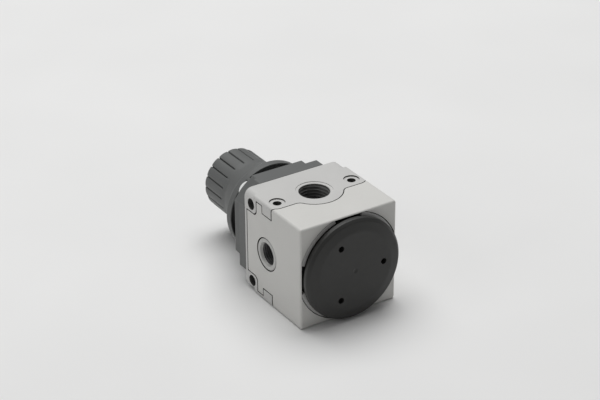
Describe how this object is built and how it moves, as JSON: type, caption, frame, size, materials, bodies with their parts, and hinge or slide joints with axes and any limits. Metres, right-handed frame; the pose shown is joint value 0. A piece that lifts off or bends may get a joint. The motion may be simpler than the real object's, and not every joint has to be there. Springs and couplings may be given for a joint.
{
  "type": "air pressure regulator",
  "caption": "Compact modular air pressure regulator: square two-piece body with threaded ports, spring bonnet, ribbed locking knob and round closing cap.",
  "frame": {"origin": "under the middle of the overall length, on the surface that the lower port face lies on", "axes": "+Y along the knob axis towards the knob, +Z along the main ports, +X along the gauge ports"},
  "size_m": [0.043, 0.0892, 0.043],
  "materials": {
    "core_metal": "die-cast, light grey, satin",
    "shell_plastic": "light grey moulded plastic, fine grain",
    "cap_plastic": "near-black moulded plastic, satin",
    "grey_plastic": "dark grey moulded plastic, fine grain",
    "bush_metal": "machined",
    "brass": "turned",
    "steel": "zinc plated",
    "spring_steel": "drawn wire",
    "alloy": "turned",
    "rubber": "moulded rubber",
    "white_plastic": "white moulded plastic"
  },
  "bodies": {
    "housing": {"core_body": "core_metal", "shell": "shell_plastic", "closing_cap": "cap_plastic", "cap_oring": "rubber", "valve_seat": "brass", "seat_oring": "rubber", "valve_spring": "spring_steel", "gauge_bush_left": "bush_metal", "gauge_bush_right": "bush_metal", "bush_seals": "rubber", "diaphragm": "rubber", "range_spring": "spring_steel", "thrust_washer": "white_plastic", "bonnet": "grey_plastic", "bonnet_screws": "steel", "index_marker": "white_plastic"},
    "spindle": {"adjusting_spindle": "steel", "retaining_clip": "spring_steel", "knob_screw": "steel"},
    "knob": {"knob": "grey_plastic", "knob_cap": "grey_plastic"},
    "spring_nut": {"spring_nut": "brass"},
    "diaphragm_unit": {"relief_seat": "brass", "diaphragm_plate": "alloy"},
    "valve": {"valve_poppet": "brass", "poppet_seal": "rubber", "valve_stem": "brass"}
  },
  "joints": [
    {"name": "knob_turn", "type": "hinge", "parent": "housing", "child": "spindle", "pos_m": [0, 0.03252, 0.0215], "axis": [0, -1, 0], "range_deg": [0, 2160]},
    {"name": "knob_lift", "type": "slide", "parent": "spindle", "child": "knob", "axis": [0, 1, 0], "range_m": [0, 0.0025]},
    {"name": "spring_nut_travel", "type": "slide", "parent": "housing", "child": "spring_nut", "axis": [0, -1, 0], "range_m": [0, 0.0076], "deforming": ["range_spring"]},
    {"name": "diaphragm_travel", "type": "slide", "parent": "housing", "child": "diaphragm_unit", "axis": [0, -1, 0], "range_m": [0, 0.0012], "stiffness_N_per_m": 600, "deforming": ["diaphragm"]},
    {"name": "valve_travel", "type": "slide", "parent": "housing", "child": "valve", "axis": [0, -1, 0], "range_m": [0, 0.0012], "deforming": ["valve_spring"]}
  ],
  "couplings": [
    {"joint": "spring_nut_travel", "follows": "knob_turn", "m_per_rad": 0.00019894},
    {"joint": "valve_travel", "follows": "diaphragm_travel", "ratio": 1}
  ]
}
